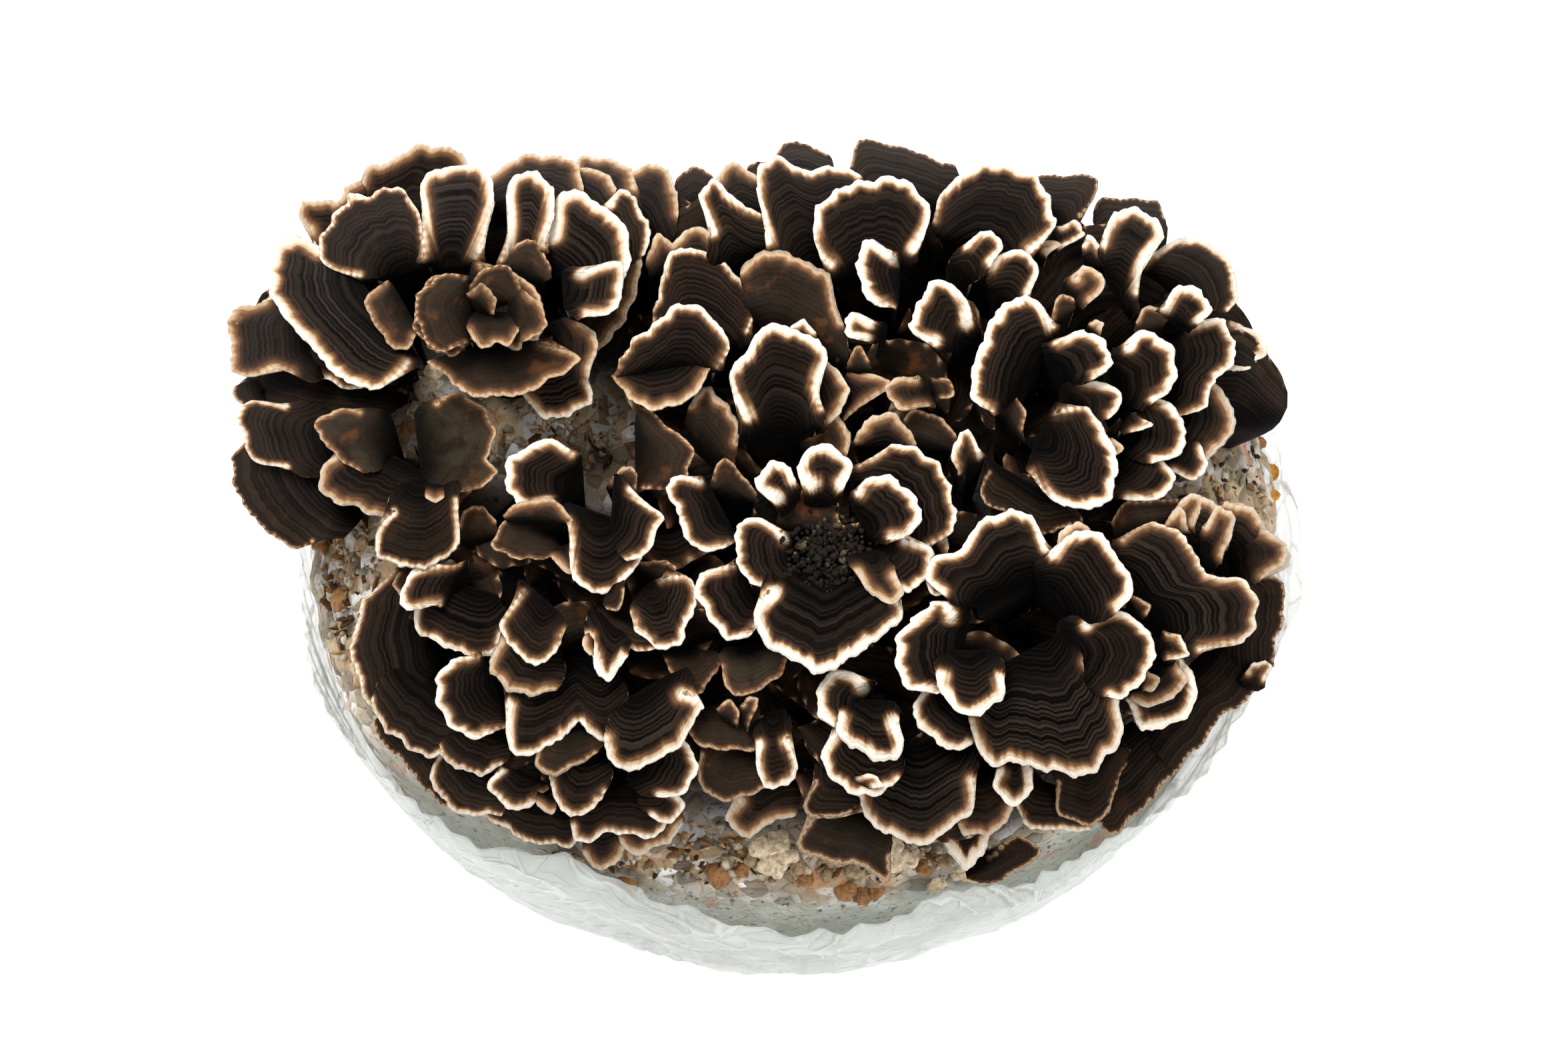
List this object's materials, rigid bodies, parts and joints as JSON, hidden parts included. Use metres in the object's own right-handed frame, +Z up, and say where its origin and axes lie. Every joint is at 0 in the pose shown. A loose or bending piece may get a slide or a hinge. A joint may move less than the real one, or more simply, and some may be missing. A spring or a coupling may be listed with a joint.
{
  "type": "turkey tail fungus on its grow block",
  "caption": "Colony of turkey tail brackets with dark zoned caps and pale growing edges, on a loaf-shaped block of wood chips in an opened clear grow bag.",
  "frame": {"origin": "middle of the flat underside of the bag, where the block stands on the table", "axes": "+X to the right along the block's long side, +Y to the back, +Z up"},
  "size_m": [0.2049, 0.1528, 0.1411],
  "materials": {
    "cap_flesh": "velvety zones, cream growing edge",
    "wood_chips": "rough chips grown through with white mycelium",
    "bag_film": "clear crumpled film"
  },
  "bodies": {
    "root": {"back_edge_caps": "cap_flesh", "back_left_rosette": "cap_flesh", "back_right_cluster": "cap_flesh", "central_rosette": "cap_flesh", "dark_middle_caps": "cap_flesh", "front_fan_cluster": "cap_flesh", "front_left_fan_cluster": "cap_flesh", "front_middle_old_caps": "cap_flesh", "front_right_cluster": "cap_flesh", "front_right_corner_caps": "cap_flesh", "left_centre_round_cluster": "cap_flesh", "left_edge_shelves": "cap_flesh", "left_front_cluster": "cap_flesh", "left_low_round_cap": "cap_flesh", "left_middle_cluster": "cap_flesh", "left_mossy_cluster": "cap_flesh", "ragged_cap_cluster": "cap_flesh", "right_back_corner_cluster": "cap_flesh", "right_edge_shelves": "cap_flesh", "right_round_cap_cluster": "cap_flesh", "right_tan_shelves": "cap_flesh", "right_zoned_fan": "cap_flesh", "grow_bag": "bag_film", "substrate_block": "wood_chips"}
  },
  "joints": []
}
